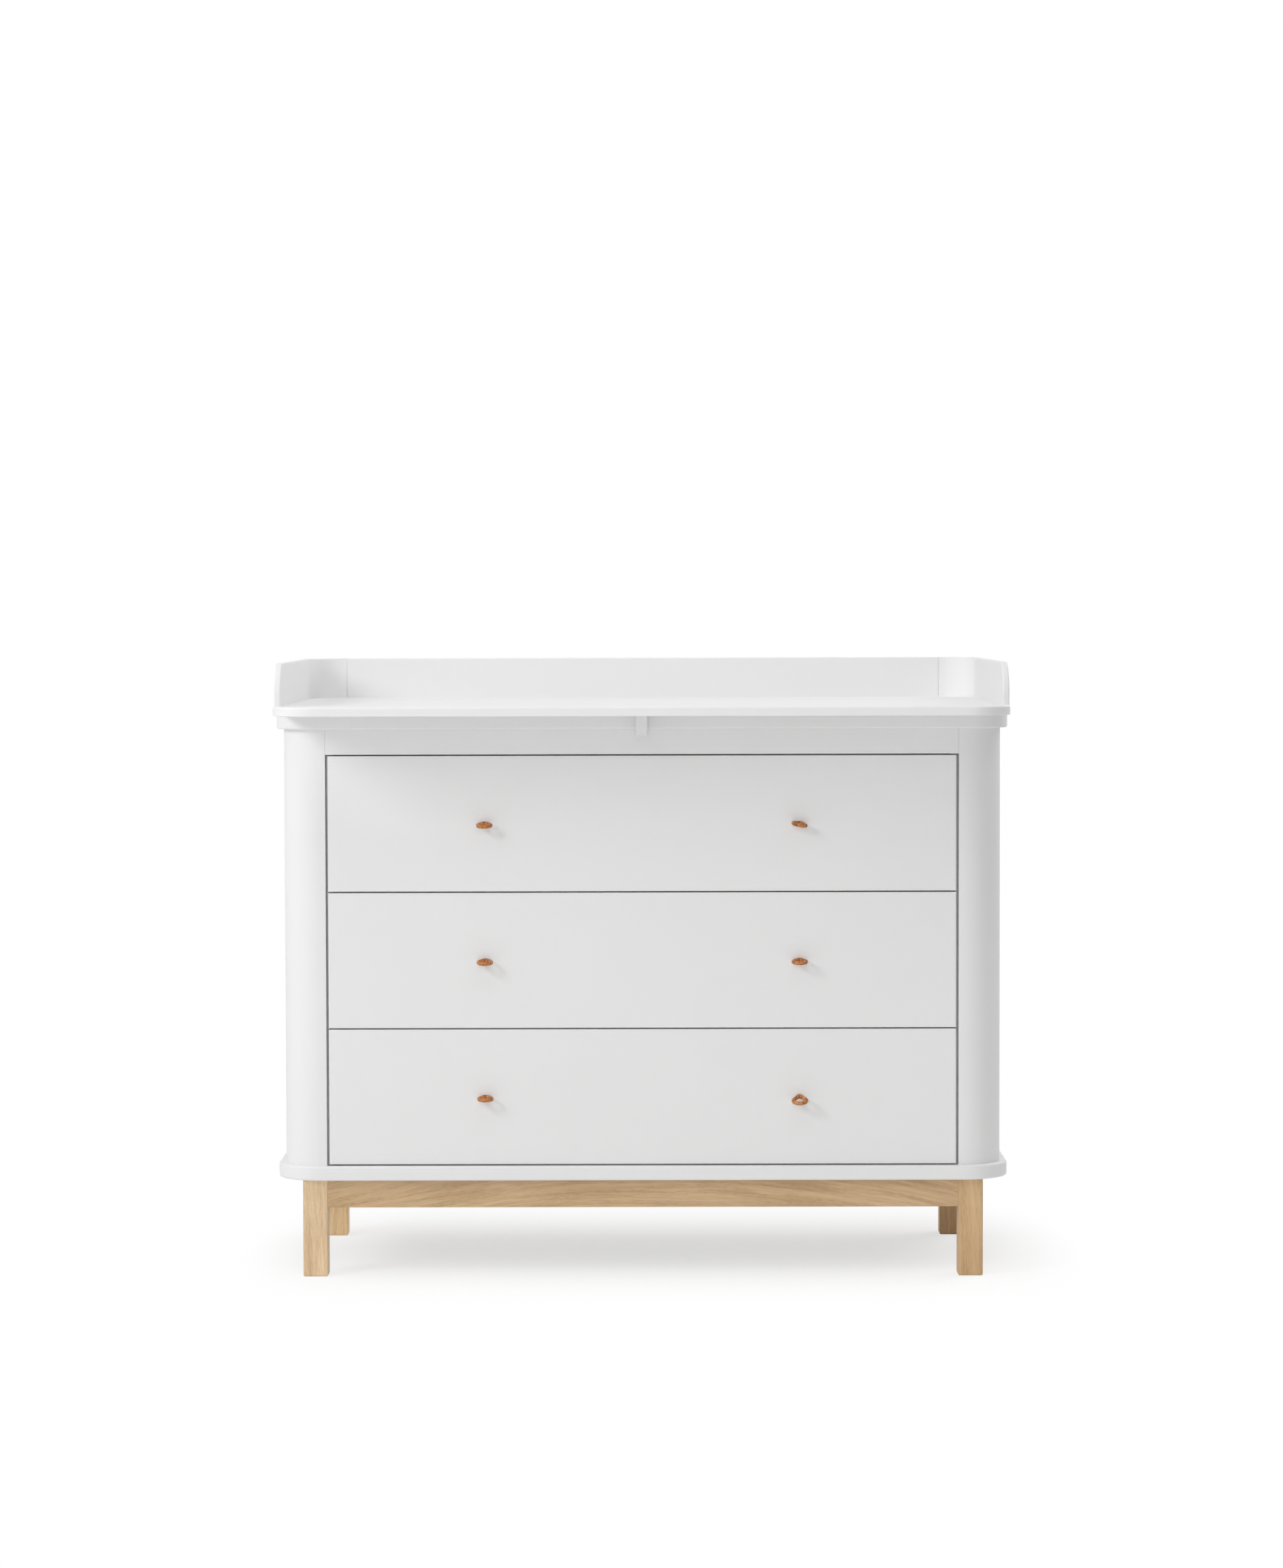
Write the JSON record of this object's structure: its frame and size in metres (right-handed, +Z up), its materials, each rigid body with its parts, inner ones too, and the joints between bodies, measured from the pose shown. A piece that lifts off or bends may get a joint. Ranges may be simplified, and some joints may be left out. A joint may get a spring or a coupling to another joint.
{
  "type": "changing table",
  "caption": "White lacquered dresser with wide drawers, leather loop pulls and an oak base, under a lift-off changing top with a low rounded rim.",
  "frame": {"origin": "on the floor, under the middle of the whole", "axes": "+Z up, -Y the front with the drawers, +X to the right as seen from the front"},
  "size_m": [1.132, 0.665, 0.949],
  "materials": {
    "white_lacquer": "satin white lacquer on board",
    "oak": "solid oak, matt oil",
    "birch_ply": "birch plywood, clear lacquer",
    "leather": "round cognac leather cord",
    "zinc_steel": "zinc-plated steel",
    "beech": "plain beech dowel"
  },
  "bodies": {
    "carcass": {"leg_front_left": "oak", "leg_front_right": "oak", "leg_back_left": "oak", "leg_back_right": "oak", "apron_front": "oak", "apron_back": "oak", "apron_left": "oak", "apron_right": "oak", "base_corner_blocks": "oak", "base_screws": "zinc_steel", "plinth_board": "white_lacquer", "post_left": "white_lacquer", "post_right": "white_lacquer", "front_stile_left": "white_lacquer", "front_stile_right": "white_lacquer", "side_panel_left": "white_lacquer", "side_panel_right": "white_lacquer", "back_panel": "white_lacquer", "top_rail": "white_lacquer", "back_rail": "white_lacquer", "runner_battens_left": "birch_ply", "runner_battens_right": "birch_ply", "dresser_top": "white_lacquer", "carcass_dowels": "beech", "runner_cabinet_top": "zinc_steel", "runner_cabinet_middle": "zinc_steel", "runner_cabinet_bottom": "zinc_steel"},
    "changing_top": {"changing_board": "white_lacquer", "rim_left": "white_lacquer", "rim_right": "white_lacquer", "rim_back": "white_lacquer", "front_stop_block": "white_lacquer", "changing_top_screws": "zinc_steel"},
    "drawer_top": {"drawer_front_top": "white_lacquer", "drawer_side_left_top": "birch_ply", "drawer_side_right_top": "birch_ply", "drawer_back_top": "birch_ply", "drawer_bottom_top": "birch_ply", "pull_left_top": "leather", "pull_right_top": "leather", "runner_drawer_top": "zinc_steel"},
    "ball_cages_top": {"runner_cage_top": "zinc_steel"},
    "drawer_middle": {"drawer_front_middle": "white_lacquer", "drawer_side_left_middle": "birch_ply", "drawer_side_right_middle": "birch_ply", "drawer_back_middle": "birch_ply", "drawer_bottom_middle": "birch_ply", "pull_left_middle": "leather", "pull_right_middle": "leather", "runner_drawer_middle": "zinc_steel"},
    "ball_cages_middle": {"runner_cage_middle": "zinc_steel"},
    "drawer_bottom": {"drawer_front_bottom": "white_lacquer", "drawer_side_left_bottom": "birch_ply", "drawer_side_right_bottom": "birch_ply", "drawer_back_bottom": "birch_ply", "drawer_bottom_bottom": "birch_ply", "pull_left_bottom": "leather", "pull_right_bottom": "leather", "runner_drawer_bottom": "zinc_steel"},
    "ball_cages_bottom": {"runner_cage_bottom": "zinc_steel"}
  },
  "joints": [
    {"name": "drawer_top_slide", "type": "slide", "parent": "carcass", "child": "drawer_top", "axis": [0, -1, 0], "range_m": [0, 0.335]},
    {"name": "drawer_middle_slide", "type": "slide", "parent": "carcass", "child": "drawer_middle", "axis": [0, -1, 0], "range_m": [0, 0.335]},
    {"name": "drawer_bottom_slide", "type": "slide", "parent": "carcass", "child": "drawer_bottom", "axis": [0, -1, 0], "range_m": [0, 0.335]},
    {"name": "ball_cages_top_slide", "type": "slide", "parent": "carcass", "child": "ball_cages_top", "axis": [0, -1, 0], "range_m": [0, 0.168]},
    {"name": "ball_cages_middle_slide", "type": "slide", "parent": "carcass", "child": "ball_cages_middle", "axis": [0, -1, 0], "range_m": [0, 0.168]},
    {"name": "ball_cages_bottom_slide", "type": "slide", "parent": "carcass", "child": "ball_cages_bottom", "axis": [0, -1, 0], "range_m": [0, 0.168]},
    {"name": "changing_top_lift", "type": "slide", "parent": "carcass", "child": "changing_top", "axis": [0, 0, 1], "range_m": [0, 0.1]}
  ],
  "couplings": [
    {"joint": "ball_cages_top_slide", "follows": "drawer_top_slide", "ratio": 0.5},
    {"joint": "ball_cages_middle_slide", "follows": "drawer_middle_slide", "ratio": 0.5},
    {"joint": "ball_cages_bottom_slide", "follows": "drawer_bottom_slide", "ratio": 0.5}
  ]
}
